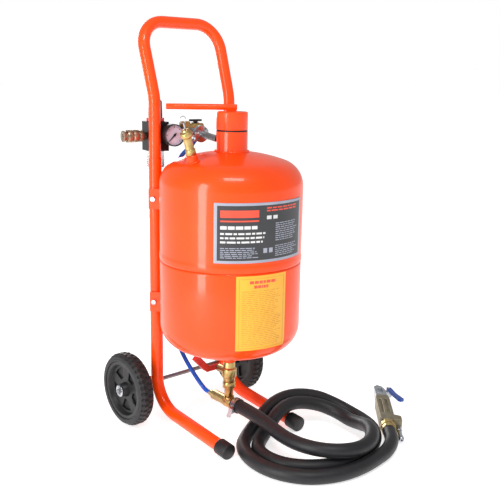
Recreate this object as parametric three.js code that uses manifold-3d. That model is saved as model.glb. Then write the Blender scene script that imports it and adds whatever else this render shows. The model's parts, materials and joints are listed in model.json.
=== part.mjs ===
// Portable pressure blaster tank on a two-wheel hand cart.
// Millimetres, +Z up, -Y is the front (feet), the axle runs along X, the floor is z = 0.
import * as THREE from 'three';
import { mergeVertices } from 'three/addons/utils/BufferGeometryUtils.js';
import Module from 'manifold-3d';

const wasm = await Module();
wasm.setup();

// ---- driving dimensions ----
const gap = 0.3;                  // running or seating gap between touching pieces
const railRadius = 12.5;
const railWall = 1.5;
const railHalfSpan = 93;          // rail centre to the middle plane
const railBackY = 80;             // rail centre behind the origin
const railTop = 546;
const footSlope = 5;              // degrees, foot tube down to the front
const footBendRadius = 68;
const footFrontY = -153;          // front face of the foot cap
const footCapRadius = 15.5;
const footCapLength = 29;
const footCapFloor = 3.5;         // rubber in front of the tube end
const handleRadius = 11.5;
const handleWall = 1.7;
const spigotDepth = 46;
const handleKinkZ = 660;
const handleTopZ = 804;           // handle centre line at the grip
const handleTopY = 125.6;
const handleTopHalfSpan = 95;
const tankY = -40;                // tank axis in front of the origin
const tankRadius = 138;
const tankWall = 3;
const tankBottomTangent = 229;
const tankTopTangent = 501;
const knuckleRadius = 50;
const crownRadius = 325;
const seamZ = 358;                // lower edge of the upper shell
const seamLap = 20;
const beadHeight = 1;
const neckRadius = 30;
const neckWall = 6;
const neckBottom = 548;
const neckTop = 602;
const gasketThickness = 2.3;
const capHeight = 34;
const plugDepth = 14;
const leverBarRadius = 5.5;
const leverReach = 124;
const bracketThickness = 3;
const bracketHeight = 40;
const bracketLevels = [260, 468];
const boltRadius = 3;
const boltHeadRadius = 5.5;
const boltHeadHeight = 4;
const axleRadius = 4.5;
const axleY = 104.1;
const axleZ = 75;
const axleHalfLength = 174.5;
const hangerThickness = 5;
const hangerHalfHeight = 14;
const wheelRadius = axleZ;
const wheelWidth = 33;
const wheelHalfTrack = 148.5;
const tyreInnerRadius = 60;
const hubBossRadius = 13;
const hubBossHalfLength = 18.5;
const washerRadius = 12;
const washerThickness = 1.5;
const cotterRadius = 1.1;
const safetyBossRadius = 10.5;
const safetyBossHeight = 14;
const outletBungRadius = 14;
const outletBore = 6.5;
const outletBungBottom = 142;
const valveBottom = 99;
const leverStemZ = 118;
const teeZ = 54;
const teeRadius = 10.5;
const teeBackY = 8;
const teeFrontY = -55.7;
const airHoseRadius = 4.5;
const blastHoseRadius = 13.5;

const trainPosition = [-70, 111];  // regulator axis
const trainTurn = -11;             // degrees about Z
const portZ = 586;
const regulatorHalf = 20;
const regulatorBottom = 557;
const regulatorTop = 614;
const bowlRadius = 17;
const bowlBottom = 520;
const gaugeRadius = 21.5;
const gaugeOffset = 17;
const gaugeZ = 590;
const gaugeFace = 56;
const gaugeDepth = 24;
const manifoldX = 64;

// inlet line from the manifold to the filler neck
const inletStart = new THREE.Vector3(-4, 102, 597);
const inletEnd = new THREE.Vector3(-17, -14, 587);

// ---- free routes, chosen by hand ----
const airHoseRoute = [
  [-15, 57, 577], [-17.1, 61.1, 570.4], [-19, 69, 562], [-19.5, 80, 555], [-20, 92, 545], [-21, 102, 528], [-21, 105, 500],
  [-21, 105.5, 440], [-21, 105.5, 364], [-21, 105.5, 290], [-21, 105, 220], [-21, 105, 165], [-20, 101, 140],
  [-16, 89, 116], [-10, 70, 90], [-4, 53, 69], [-1, 43, 59], [0, 34, 54.4], [0, 28, 54],
  [0, 21, 54],
];
const blastHoseRoute = [
  [0, -56, 54], [0, -84, 54], [-1, -113, 53], [-3, -144, 51], [-6, -178, 47], [-9, -211, 44], [-8, -244, 43],
  [0, -275, 43], [16, -302, 43], [41, -321, 42], [72, -330, 41], [104, -326, 42], [132, -308, 44], [153, -281, 41],
  [168, -250, 31], [175, -215, 25], [173, -181, 30], [157, -152, 39], [128, -132, 47], [95, -125, 51],
  [63, -126, 46], [34, -132, 33], [5, -143, 20], [-22, -157, 14], [-43, -181, 14], [-50, -213, 14], [-44, -246, 14],
  [-24, -276, 14], [6, -299, 14], [39, -312, 14], [73, -316, 14], [107, -313, 14], [141, -303, 14], [172, -284, 14],
  [198, -256, 14], [213, -221, 14], [213, -184, 19], [199, -151, 31], [173, -125, 45], [141, -106, 52],
  [106, -96, 53], [71, -95, 47], [38, -100, 34], [6, -109, 21], [-25, -123, 14], [-51, -144, 14], [-69, -173, 14],
  [-78, -208, 14], [-77, -244, 14], [-65, -279, 14], [-43, -309, 14], [-10, -331, 14], [27, -343, 14],
  [65, -346, 14], [104, -343, 14], [143, -336, 14], [180, -319, 15.7], [210, -290, 16],
];
const gunTurn = 45;                // degrees about Z from the hose end

// ---- finishes ----
const powderCoat = { color: 0xff5518, roughness: 0.42, metalness: 0 };
const moulded = { color: 0x2b2b2b, roughness: 0.6, metalness: 0 };
const rubber = { color: 0x353538, roughness: 0.8, metalness: 0 };
const zinc = { color: 0xa9adb2, roughness: 0.35, metalness: 1 };
const brass = { color: 0xc9a24f, roughness: 0.35, metalness: 1 };
const platePaint = { color: 0x4a4b4f, roughness: 0.45, metalness: 0.2 };
const yellowFilm = { color: 0xffc24a, roughness: 0.5, metalness: 0 };
const clearPlastic = { color: 0xd8d4c8, roughness: 0.15, metalness: 0 };
const blueHose = { color: 0x1858b8, roughness: 0.4, metalness: 0 };
const castAlloy = { color: 0x8c8672, roughness: 0.5, metalness: 0.7 };

const model = new THREE.Group();

// ---- solid helpers ----
function solid(geometry) {
  const bare = geometry.clone();
  bare.deleteAttribute('normal');
  bare.deleteAttribute('uv');
  const merged = mergeVertices(bare, 1e-4);
  const source = merged.index.array;
  const position = merged.attributes.position;
  const kept = [];
  let volume = 0;
  const a = new THREE.Vector3();
  const b = new THREE.Vector3();
  const c = new THREE.Vector3();
  for (let i = 0; i < source.length; i += 3) {
    const [p, q, r] = [source[i], source[i + 1], source[i + 2]];
    if (p === q || q === r || r === p) continue;
    kept.push(p, q, r);
    a.fromBufferAttribute(position, p);
    b.fromBufferAttribute(position, q);
    c.fromBufferAttribute(position, r);
    volume += a.dot(b.cross(c));
  }
  if (volume < 0) {
    for (let i = 0; i < kept.length; i += 3) {
      [kept[i + 1], kept[i + 2]] = [kept[i + 2], kept[i + 1]];
    }
  }
  merged.setIndex(kept);
  return merged;
}

function toManifold(geometry) {
  const clean = solid(geometry);
  const vertProperties = Float32Array.from(clean.attributes.position.array);
  const triVerts = Uint32Array.from(clean.index.array);
  return new wasm.Manifold(new wasm.Mesh({ numProp: 3, vertProperties, triVerts }));
}

function fromManifold(body) {
  const mesh = body.getMesh();
  const geometry = new THREE.BufferGeometry();
  geometry.setAttribute('position', new THREE.BufferAttribute(Float32Array.from(mesh.vertProperties), 3));
  geometry.setIndex(Array.from(mesh.triVerts));
  return geometry;
}

function join(...pieces) {
  return fromManifold(pieces.map(toManifold).reduce((whole, piece) => whole.add(piece)));
}

function cut(base, ...tools) {
  return fromManifold(tools.map(toManifold).reduce((whole, tool) => whole.subtract(tool), toManifold(base)));
}

function common(first, second) {
  return fromManifold(toManifold(first).intersect(toManifold(second)));
}

// profile of [radius, height] pairs turned about Z
function turned(profile, sides = 20) {
  const points = profile.map(([radius, height]) => new THREE.Vector2(radius, height));
  return new THREE.LatheGeometry(points, sides).rotateX(Math.PI / 2);
}

function rod(radius, from, to, sides = 16) {
  return turned([[0, from], [radius, from], [radius, to], [0, to]], sides);
}

function ring(outer, inner, from, to, sides = 20) {
  return turned([[inner, from], [outer, from], [outer, to], [inner, to], [inner, from]], sides);
}

// closed solid from a list of [radius, height] steps along Z
function stepped(steps, sides = 16) {
  const first = steps[0];
  const last = steps[steps.length - 1];
  return turned([[0, first[1]], ...steps, [0, last[1]]], sides);
}

function block(sizeX, sizeY, sizeZ, x, y, z) {
  return new THREE.BoxGeometry(sizeX, sizeY, sizeZ).translate(x, y, z);
}

// moves a shape made along +Z so that it starts at a point and runs along a direction
function aim(geometry, start, direction) {
  const turn = new THREE.Quaternion().setFromUnitVectors(new THREE.Vector3(0, 0, 1), direction.clone().normalize());
  return geometry.clone().applyQuaternion(turn).translate(start.x, start.y, start.z);
}

// a path that places a section at each of its own points
class StationCurve extends THREE.Curve {
  constructor(points) {
    super();
    this.points = points;
  }

  getPoint(t, target = new THREE.Vector3()) {
    const place = t * (this.points.length - 1);
    const index = Math.min(Math.floor(place), this.points.length - 2);
    return target.lerpVectors(this.points[index], this.points[index + 1], place - index);
  }

  getPointAt(u, target) {
    return this.getPoint(u, target);
  }

  getTangentAt(u, target = new THREE.Vector3()) {
    const index = Math.round(u * (this.points.length - 1));
    const before = this.points[Math.max(index - 1, 0)];
    const here = this.points[index];
    const after = this.points[Math.min(index + 1, this.points.length - 1)];
    const arriving = here.clone().sub(before).normalize();
    const leaving = after.clone().sub(here).normalize();
    return target.copy(arriving).add(leaving).normalize();
  }
}

// corners rounded by arcs: each corner is [x, y, z, bendRadius, steps]
function filletPath(corners) {
  const points = [];
  corners.forEach(([x, y, z, radius = 0, steps = 6], index) => {
    const here = new THREE.Vector3(x, y, z);
    if (radius === 0 || index === 0 || index === corners.length - 1) {
      points.push(here);
      return;
    }
    const back = new THREE.Vector3(...corners[index - 1].slice(0, 3)).sub(here).normalize();
    const ahead = new THREE.Vector3(...corners[index + 1].slice(0, 3)).sub(here).normalize();
    const half = back.angleTo(ahead) / 2;
    const middle = back.clone().add(ahead).normalize();
    const centre = here.clone().addScaledVector(middle, radius / Math.sin(half));
    const start = here.clone().addScaledVector(back, radius / Math.tan(half)).sub(centre);
    const axis = back.clone().cross(ahead).normalize();
    for (let step = 0; step <= steps; step += 1) {
      const swing = -(Math.PI - 2 * half) * (step / steps);
      points.push(start.clone().applyAxisAngle(axis, swing).add(centre));
    }
  });
  return points;
}

function sweep(points, outer, inner = 0, sides = 10) {
  const section = new THREE.Shape();
  section.absarc(0, 0, outer, 0, Math.PI * 2, false);
  if (inner > 0) {
    const bore = new THREE.Path();
    bore.absarc(0, 0, inner, 0, Math.PI * 2, true);
    section.holes.push(bore);
  }
  const extrudePath = new StationCurve(points);
  const options = { steps: points.length - 1, curveSegments: sides / 2, extrudePath, bevelEnabled: false };
  return new THREE.ExtrudeGeometry(section, options);
}

function plate(outline, thickness) {
  const shape = new THREE.Shape(outline.map(([x, y]) => new THREE.Vector2(x, y)));
  return new THREE.ExtrudeGeometry(shape, { depth: thickness, bevelEnabled: false });
}

function add(name, geometry, finish, parent = model) {
  const mesh = new THREE.Mesh(solid(geometry), new THREE.MeshStandardMaterial(finish));
  mesh.name = name;
  parent.add(mesh);
  return mesh;
}

const sides = [['left', -1], ['right', 1]];
const radians = THREE.MathUtils.degToRad;
const footDrop = Math.tan(radians(footSlope));
const footFrontZ = footCapRadius * Math.cos(radians(footSlope)) + 0.06;

// ---- frame ----
function railCentre(side) {
  const heelZ = footFrontZ + (railBackY - footFrontY) * footDrop;
  const toeY = footFrontY + footCapFloor;
  const toeZ = footFrontZ + footCapFloor * footDrop;
  const x = side * railHalfSpan;
  return filletPath([[x, railBackY, railTop], [x, railBackY, heelZ, footBendRadius, 6], [x, toeY, toeZ]]);
}

function bracketAngle(side) {
  return Math.atan2(side * railHalfSpan, tankY - railBackY);
}

// frame at a rail whose +Y runs to the tank axis
function bracketFrame(side, level) {
  const frame = new THREE.Group();
  frame.position.set(side * railHalfSpan, railBackY, level);
  frame.rotation.z = bracketAngle(side);
  return frame;
}

function bracketBoltHoles(side) {
  return bracketLevels.map((level) => {
    const frame = bracketFrame(side, level);
    frame.updateMatrix();
    const hole = rod(boltRadius + gap, -30, 30, 12).rotateY(Math.PI / 2);
    return hole.applyMatrix4(frame.matrix);
  });
}

function axleHanger(side) {
  const start = railBackY - hangerThickness;
  const end = axleY + 12;
  const roundCentre = end - hangerHalfHeight;
  const shape = new THREE.Shape();
  shape.moveTo(start, -hangerHalfHeight);
  shape.lineTo(roundCentre, -hangerHalfHeight);
  shape.absarc(roundCentre, 0, hangerHalfHeight, -Math.PI / 2, Math.PI / 2, false);
  shape.lineTo(start, hangerHalfHeight);
  shape.closePath();
  const hanger = new THREE.ExtrudeGeometry(shape, { depth: hangerThickness, bevelEnabled: false, curveSegments: 8 });
  hanger.rotateY(Math.PI / 2).rotateX(Math.PI / 2);
  return hanger.translate(side * railHalfSpan - hangerThickness / 2, 0, axleZ);
}

function makeRails() {
  for (const [name, side] of sides) {
    const tube = sweep(railCentre(side), railRadius, railRadius - railWall);
    const axleHole = rod(axleRadius + gap, -20, 20, 16).rotateY(Math.PI / 2);
    axleHole.translate(side * railHalfSpan, axleY, axleZ);
    const bore = sweep(railCentre(side), railRadius - railWall / 2);
    const hanger = cut(axleHanger(side), bore);
    add(`rail_${name}`, cut(join(tube, hanger), axleHole, ...bracketBoltHoles(side)), powderCoat);
  }
}

function makeHandle() {
  const x = railHalfSpan;
  const seat = railTop + gap;
  const loop = filletPath([
    [-x, railBackY, seat], [-x, railBackY, handleKinkZ, 90, 3],
    [-handleTopHalfSpan, handleTopY, handleTopZ, 52, 6], [handleTopHalfSpan, handleTopY, handleTopZ, 52, 6],
    [x, railBackY, handleKinkZ, 90, 3], [x, railBackY, seat],
  ]);
  const spigots = sides.map(([, side]) => {
    const outer = railRadius - railWall - gap;
    return ring(outer, outer - railWall, railTop - spigotDepth, seat + 4, 10).translate(side * x, railBackY, 0);
  });
  add('handle_loop', join(sweep(loop, handleRadius, handleRadius - handleWall), ...spigots), powderCoat);
}

function makeFootCaps() {
  const bore = railRadius + gap;
  for (const [name, side] of sides) {
    const cup = turned([
      [0, 0], [footCapRadius - 1, 0], [footCapRadius, 1], [footCapRadius, footCapLength - 1],
      [footCapRadius - 1, footCapLength], [bore, footCapLength], [bore, footCapFloor - gap], [0, footCapFloor - gap],
    ]);
    const cap = add(`foot_cap_${name}`, cup, moulded);
    cap.rotation.x = -Math.PI / 2 + radians(footSlope);
    cap.position.set(side * railHalfSpan, footFrontY, footFrontZ);
  }
}

function makeBrackets() {
  const railToAxis = Math.hypot(railHalfSpan, railBackY - tankY);
  const inner = railRadius + gap;
  const offset = inner + bracketThickness / 2;
  const reach = railToAxis - Math.sqrt(tankRadius ** 2 - offset ** 2) - gap;
  const tail = -9;
  const labels = ['lower', 'upper'];
  for (const [name, side] of sides) {
    bracketLevels.forEach((level, index) => {
      const frame = bracketFrame(side, level);
      const out = -side;
      const middle = out * offset;
      const leaf = block(bracketThickness, reach - tail, bracketHeight, middle, (reach + tail) / 2, 0);
      const hole = rod(boltRadius + gap, -30, 30, 12).rotateY(Math.PI / 2);
      add(`tank_bracket_${labels[index]}_${name}`, cut(leaf, hole), powderCoat, frame);

      const headStart = inner + bracketThickness + gap;
      const bolt = join(
        rod(boltHeadRadius, headStart, headStart + boltHeadHeight, 6),
        rod(boltRadius, -inner - boltHeadHeight - 2, headStart + 1, 12),
        rod(boltHeadRadius, -inner - boltHeadHeight, -inner, 6),
      );
      add(`rail_bolt_${labels[index]}_${name}`, bolt.rotateY(out * Math.PI / 2), zinc, frame);
      model.add(frame);
    });
  }
}

// ---- running gear ----
function makeAxle() {
  const cotterX = wheelHalfTrack + hubBossHalfLength + 2 * gap + 0.7 + washerThickness + gap + cotterRadius;
  const holes = sides.map(([, side]) => rod(cotterRadius + gap, -10, 10, 10).translate(side * cotterX, 0, 0));
  const bar = stepped([
    [axleRadius - 0.8, -axleHalfLength], [axleRadius, -axleHalfLength + 0.8],
    [axleRadius, axleHalfLength - 0.8], [axleRadius - 0.8, axleHalfLength],
  ], 20).rotateY(Math.PI / 2);
  add('axle', cut(bar, ...holes).translate(0, axleY, axleZ), zinc);

  for (const [name, side] of sides) {
    const inside = cotterX - cotterRadius - gap - washerThickness;
    const washer = ring(washerRadius, axleRadius + gap, inside, inside + washerThickness);
    washer.rotateY(side * Math.PI / 2).translate(0, axleY, axleZ);
    add(`axle_washer_${name}`, washer, zinc);
    const eye = turned(circleProfile(2.6, cotterRadius, 6), 10).rotateY(Math.PI / 2).translate(0, 0, axleRadius + 4.2);
    const pin = join(rod(cotterRadius, -axleRadius - 4, axleRadius + 2.2, 8), eye);
    add(`cotter_pin_${name}`, pin.translate(side * cotterX, axleY, axleZ), zinc);
  }
}

// closed round section at a distance from the axis
function circleProfile(distance, radius, count) {
  const points = [];
  for (let i = 0; i <= count; i += 1) {
    const angle = (i % count) / count * Math.PI * 2;
    points.push([distance + radius * Math.cos(angle), radius * Math.sin(angle)]);
  }
  return points;
}

function makeWheels() {
  const half = wheelWidth / 2;
  const shoulder = 7;
  const seat = tyreInnerRadius;
  const tyre = turned([
    [seat, -half + 1], [seat + 3, -half], [wheelRadius - shoulder, -half], [wheelRadius - 2, -half + shoulder],
    [wheelRadius, -half + 11], [wheelRadius, half - 11], [wheelRadius - 2, half - shoulder],
    [wheelRadius - shoulder, half], [seat + 3, half], [seat, half - 1], [seat, -half + 1],
  ], 28);
  const rim = seat - gap;
  const rimInner = 50;
  const web = 5;
  const bore = axleRadius + gap;
  const boss = hubBossHalfLength;
  const bossRadius = hubBossRadius;
  const disc = turned([
    [bore, -boss], [bossRadius, -boss], [bossRadius + 2, -web], [rimInner, -web], [rimInner + 3, -half + 2],
    [rim, -half + 2], [rim, half - 2], [rimInner + 3, half - 2], [rimInner, web], [bossRadius + 2, web],
    [bossRadius, boss], [bore, boss], [bore, -boss],
  ], 28);
  const spokes = 5;
  const windows = [];
  for (let i = 0; i < spokes; i += 1) {
    const middle = (i + 0.5) / spokes * Math.PI * 2;
    const window = new THREE.Shape();
    window.absarc(0, 0, rimInner - 5, middle - 0.36, middle + 0.36, false);
    window.absarc(0, 0, bossRadius + 10, middle + 0.26, middle - 0.26, true);
    window.closePath();
    const options = { depth: 4 * web, bevelEnabled: false, curveSegments: 4 };
    windows.push(new THREE.ExtrudeGeometry(window, options).translate(0, 0, -2 * web));
  }
  const hub = cut(disc, ...windows);
  for (const [name, side] of sides) {
    const wheel = new THREE.Group();
    wheel.position.set(side * wheelHalfTrack, axleY, axleZ);
    wheel.rotation.y = side * Math.PI / 2;
    add(`tyre_${name}`, tyre, rubber, wheel);
    add(`wheel_hub_${name}`, hub, moulded, wheel);
    model.add(wheel);
  }
}

// ---- tank ----
const knuckleCentre = tankRadius - knuckleRadius;
const crownHalfAngle = Math.asin(knuckleCentre / (crownRadius - knuckleRadius));
const crownDrop = (crownRadius - knuckleRadius) * Math.cos(crownHalfAngle);

// dished end from the opening radius out to the cylinder, above its tangent line
function dishedEnd(openingRadius, inset) {
  const points = [];
  const crown = crownRadius - inset;
  const first = Math.asin(openingRadius / crown);
  for (let i = 0; i < 2; i += 1) {
    const angle = first + (crownHalfAngle - first) * i / 2;
    points.push([crown * Math.sin(angle), crown * Math.cos(angle) - crownDrop]);
  }
  const knuckle = knuckleRadius - inset;
  for (let i = 0; i <= 5; i += 1) {
    const angle = crownHalfAngle + (Math.PI / 2 - crownHalfAngle) * i / 5;
    points.push([knuckleCentre + knuckle * Math.sin(angle), knuckle * Math.cos(angle)]);
  }
  return points;
}

const domeHeight = crownRadius - crownDrop;

const safetyFrame = new THREE.Group();
{
  const reach = new THREE.Vector2(-98, -7);
  const tilt = Math.asin(reach.length() / crownRadius);
  const height = tankTopTangent + Math.sqrt(crownRadius ** 2 - reach.lengthSq()) - crownDrop;
  safetyFrame.position.set(reach.x, tankY + reach.y, height);
  const axis = new THREE.Vector3(-reach.y, reach.x, 0).normalize();
  safetyFrame.quaternion.setFromAxisAngle(axis, tilt);
  safetyFrame.updateMatrix();
}

function makeTank() {
  const up = (points) => points.map(([r, z]) => [r, tankTopTangent + z]);
  const down = (points) => points.map(([r, z]) => [r, tankBottomTangent - z]);
  const inner = tankRadius - tankWall;
  const mouth = neckRadius + gap;
  const upperOutside = up(dishedEnd(mouth, 0));
  const upperInside = up(dishedEnd(mouth, tankWall)).reverse();
  const upperProfile = [
    ...upperOutside, [tankRadius, seamZ + 14], [tankRadius + beadHeight, seamZ + 10],
    [tankRadius + beadHeight, seamZ + 2], [tankRadius + 0.6, seamZ], [inner, seamZ], ...upperInside, upperOutside[0],
  ];
  const bossBore = 6.3;
  const boss = rod(safetyBossRadius, -tankWall, safetyBossHeight, 20).applyMatrix4(safetyFrame.matrix);
  const bossHole = rod(bossBore, -30, 40, 16).applyMatrix4(safetyFrame.matrix);
  const upper = turned(upperProfile, 36).translate(0, tankY, 0);
  add('tank_upper_shell', cut(join(upper, boss), bossHole), powderCoat);

  const lap = inner - gap;
  const lowerOutside = down(dishedEnd(outletBore, 0));
  const lowerInside = down(dishedEnd(outletBore, tankWall)).reverse();
  const lowerProfile = [
    ...lowerOutside, [tankRadius, seamZ - 4], [lap, seamZ - gap], [lap, seamZ + seamLap],
    [lap - tankWall, seamZ + seamLap], [lap - tankWall, seamZ - 2], [inner, seamZ - 6], ...lowerInside, lowerOutside[0],
  ];
  const bungTop = tankBottomTangent - domeHeight + 1;
  const bung = ring(outletBungRadius, outletBore, outletBungBottom, bungTop);
  const lower = join(turned(lowerProfile, 36), bung).translate(0, tankY, 0);
  add('tank_lower_shell', lower, powderCoat);
}

// curved film on the tank wall between two heights, about a bearing from the front
function wallFilm(name, bottom, top, bearing, halfAngle, finish) {
  const off = 0.35;
  const thickness = 0.75;
  const radius = tankRadius + off;
  const band = ring(radius + thickness, radius, bottom, top, 96);
  const far = tankRadius * 1.6;
  const wedge = [[0, 0]];
  for (let i = 0; i <= 4; i += 1) {
    const angle = radians(bearing - 90) + radians(halfAngle) * (i / 2 - 1);
    wedge.push([far * Math.cos(angle), far * Math.sin(angle)]);
  }
  const slice = plate(wedge, top - bottom + 20).translate(0, 0, bottom - 10);
  add(name, common(band, slice).translate(0, tankY, 0), finish);
}

// ---- filler ----
const inletDirection = inletEnd.clone().sub(inletStart).normalize();

function makeFiller() {
  const bore = neckRadius - neckWall;
  const neck = ring(neckRadius, bore, neckBottom, neckTop, 32).translate(0, tankY, 0);
  const pipeHole = aim(rod(6.5 + gap, 60, 145, 16), inletStart, inletDirection);
  add('filler_neck', cut(neck, pipeHole), powderCoat);

  const cap = new THREE.Group();
  cap.position.set(0, tankY, neckTop);
  const plugRadius = bore - gap;
  const gasketTop = gap + gasketThickness;
  add('cap_gasket', ring(neckRadius - 0.5, plugRadius + gap, gap, gasketTop, 32), rubber, cap);
  const base = gasketTop + gap;
  const top = base + capHeight;
  const lid = stepped([
    [plugRadius - 1, -plugDepth], [plugRadius, -plugDepth + 1], [plugRadius, base], [neckRadius, base],
    [neckRadius, top - 2], [neckRadius - 2, top],
  ], 32);
  add('filler_cap', lid, powderCoat, cap);

  const barZ = top + gap + 2.2 + leverBarRadius;
  const bar = stepped([
    [leverBarRadius - 1, -9], [leverBarRadius, -8], [leverBarRadius, leverReach - 1], [leverBarRadius - 1, leverReach],
  ], 16).rotateY(Math.PI / 2).translate(0, 0, barZ);
  const pad = block(20, 8, 6, 2, 0, top + gap + 3);
  const lever = add('cap_lever', join(bar, pad), powderCoat, cap);
  lever.rotation.z = Math.atan2(0.582, -0.813);
  model.add(cap);
}

function makeSafetyValve() {
  const seat = safetyBossHeight + gap;
  const outside = stepped([
    [5.9, 2], [5.9, seat], [9.4, seat], [9.4, seat + 10], [8, seat + 11], [8, seat + 32], [11.5, seat + 34],
    [11.5, seat + 42], [8, seat + 44], [7, seat + 48],
  ], 12);
  const top = seat + 48;
  add('safety_valve_body', cut(outside, rod(1.9, top - 14, top + 5, 10)), brass, safetyFrame);
  const pull = turned(circleProfile(6.5, 0.9, 6), 16).rotateX(Math.PI / 2).translate(0, 0, top + 18);
  add('safety_valve_stem', join(rod(1.5, top - 12, top + 12, 10), pull), zinc, safetyFrame);
  model.add(safetyFrame);
}

// ---- air train ----
function makeAirTrain() {
  const train = new THREE.Group();
  train.position.set(trainPosition[0], trainPosition[1], 0);
  train.rotation.z = radians(trainTurn);
  train.updateMatrix();
  const half = regulatorHalf;
  const spindle = 6;
  const height = regulatorTop - regulatorBottom;
  const housing = block(2 * half, 2 * half, height, 0, 0, regulatorBottom + height / 2);
  const spindleHole = rod(spindle + gap, regulatorTop - 10, regulatorTop + 5, 16);
  add('regulator_body', cut(housing, spindleHole), moulded, train);

  const ringBottom = regulatorTop + gap;
  const ringTop = ringBottom + 6.7;
  add('lock_ring', ring(17.5, spindle + 3, ringBottom, ringTop), { color: 0xc02a20, roughness: 0.4 }, train);
  const knob = stepped([
    [spindle, regulatorTop - 9], [spindle, ringTop + gap], [13.5, ringTop + gap], [14, ringTop + 3],
    [13, ringTop + 32], [11.5, ringTop + 34],
  ], 20);
  add('regulator_knob', knob, moulded, train);

  const bowlTop = regulatorBottom - gap;
  const bowl = turned([
    [0, bowlBottom - 5], [4, bowlBottom - 5], [4, bowlBottom], [bowlRadius - 5, bowlBottom], [bowlRadius, bowlBottom + 5],
    [bowlRadius, bowlTop], [bowlRadius - 2.5, bowlTop], [bowlRadius - 2.5, bowlBottom + 6],
    [bowlRadius - 6, bowlBottom + 3], [0, bowlBottom + 3],
  ]);
  add('filter_bowl', bowl, clearPlastic, train);
  add('filter_element', rod(9, bowlBottom + 10, bowlTop, 16), { color: 0xe8e4da, roughness: 0.8 }, train);

  // coupler on the inlet side, along -X
  const couplerStart = half + gap;
  const coupler = stepped([
    [7, couplerStart], [7, 26], [11.5, 26.5], [11.5, 35.5], [9.5, 36], [9.5, 66], [11.2, 66.5], [11.2, 69], [5, 69],
    [5, 58],
  ], 16).rotateY(-Math.PI / 2).translate(0, 0, portZ);
  add('coupler_body', coupler, zinc, train);
  const sleeve = turned([
    [9.8, 38], [12, 38], [12.5, 39], [12.5, 47], [11.6, 48], [11.6, 50], [12.5, 51], [12.5, 60], [12, 61], [9.8, 61],
    [9.8, 38],
  ], 20);
  add('coupler_sleeve', sleeve.rotateY(-Math.PI / 2).translate(0, 0, portZ), zinc, train);

  // gauge in front of the regulator
  const gauge = new THREE.Group();
  gauge.position.set(gaugeOffset, 0, gaugeZ);
  gauge.rotation.x = Math.PI / 2;
  const back = gaugeFace - gaugeDepth;
  const bezel = 1.8;
  const dialDepth = gaugeFace - 5;
  const pointerPin = 1.2;
  const caseBody = turned([
    [0, half + gap], [5, half + gap], [5, back], [gaugeRadius - 2, back], [gaugeRadius, back + 2],
    [gaugeRadius, gaugeFace - 1], [gaugeRadius - 1, gaugeFace], [gaugeRadius - bezel, gaugeFace],
    [gaugeRadius - bezel, dialDepth], [pointerPin + gap, dialDepth], [pointerPin + gap, dialDepth - 5],
    [0, dialDepth - 5],
  ], 24);
  add('gauge_case', caseBody, moulded, gauge);
  const blade = plate([[-1.6, -5], [1.6, -5], [0.4, 15], [-0.4, 15]], 0.8).translate(0, 0, dialDepth + 1);
  const pointer = join(blade, rod(2.4, dialDepth + 0.6, dialDepth + 2.2, 12), rod(pointerPin, dialDepth - 4, dialDepth + 1, 10));
  const needle = add('gauge_pointer', pointer, moulded, gauge);
  needle.rotation.z = radians(135);
  train.add(gauge);

  const nippleEnd = 43.7;
  const nipple = stepped([
    [7, half + gap], [7, 27], [9.5, 27.5], [9.5, 36.5], [7, 37], [7, nippleEnd],
  ], 12).rotateY(Math.PI / 2).translate(0, 0, portZ);
  add('outlet_nipple', nipple, zinc, train);

  // manifold with its four arms, and the bleed valve on its far arm
  const trunk = stepped([[9, 574], [11, 575], [11, 611], [9, 613]], 20).translate(manifoldX, 0, 0);
  const trainArm = rod(9, nippleEnd + gap, manifoldX, 16).rotateY(Math.PI / 2).translate(0, 0, portZ);
  const bleedArm = stepped([
    [8, manifoldX], [8, 79], [9.5, 80], [9.5, 95], [8, 96], [8, 104],
  ], 12).rotateY(Math.PI / 2).translate(0, 0, 601);
  const toTrain = train.matrix.clone().invert();
  const lineArm = aim(stepped([[7.5, 0], [7.5, 9], [9.5, 9.5], [9.5, 15.7]], 12), inletStart, inletDirection);
  const manifold = join(trunk, trainArm, bleedArm, lineArm.applyMatrix4(toTrain));
  const leverX = 88;
  const stemHole = rod(2.5 + gap, 604, 620, 12).translate(leverX, 0, 0);
  add('inlet_manifold', cut(manifold, stemHole), brass, train);
  const bleedTop = 601 + 9.5 + gap;
  const bleed = join(
    rod(2.5, 605, bleedTop + 2, 12), rod(5, bleedTop, bleedTop + 3, 12), block(26, 7, 4, 0, 0, bleedTop + 4),
  ).translate(leverX, 0, 0);
  add('bleed_lever', bleed, moulded, train);
  model.add(train);
}

// straight line from the manifold to the filler neck, positions are distances along it
function makeInletLine() {
  const place = (shape) => aim(shape, inletStart, inletDirection);
  const nipple = stepped([[6.8, 16], [6.8, 50]], 16);
  add('inlet_nipple', place(nipple), zinc);
  const holes = [0, 1, 2, 3].map((i) => {
    const angle = i * Math.PI / 2 + Math.PI / 4;
    return rod(2.2, 50, 70, 10).translate(12.5 * Math.cos(angle), 12.5 * Math.sin(angle), 0);
  });
  const disc = cut(stepped([[9, 50.3], [9, 55], [16.3, 55.5], [16.3, 64.5], [9, 65], [9, 65.7]], 20), ...holes);
  const branchTop = inletStart.clone().addScaledVector(inletDirection, 55);
  const branchEnd = new THREE.Vector3(...airHoseRoute[0]);
  const branchRun = branchEnd.clone().sub(branchTop);
  const branch = aim(rod(5.2, 3, branchRun.length() - 2 * gap, 12), branchTop, branchRun);
  const nippleRoom = place(rod(6.8 + gap, 10, 50.3));
  add('inlet_union', join(place(disc), cut(branch, nippleRoom)), zinc);
  add('inlet_pipe', place(rod(6.5, 66, 121, 16)), zinc);
}

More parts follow.
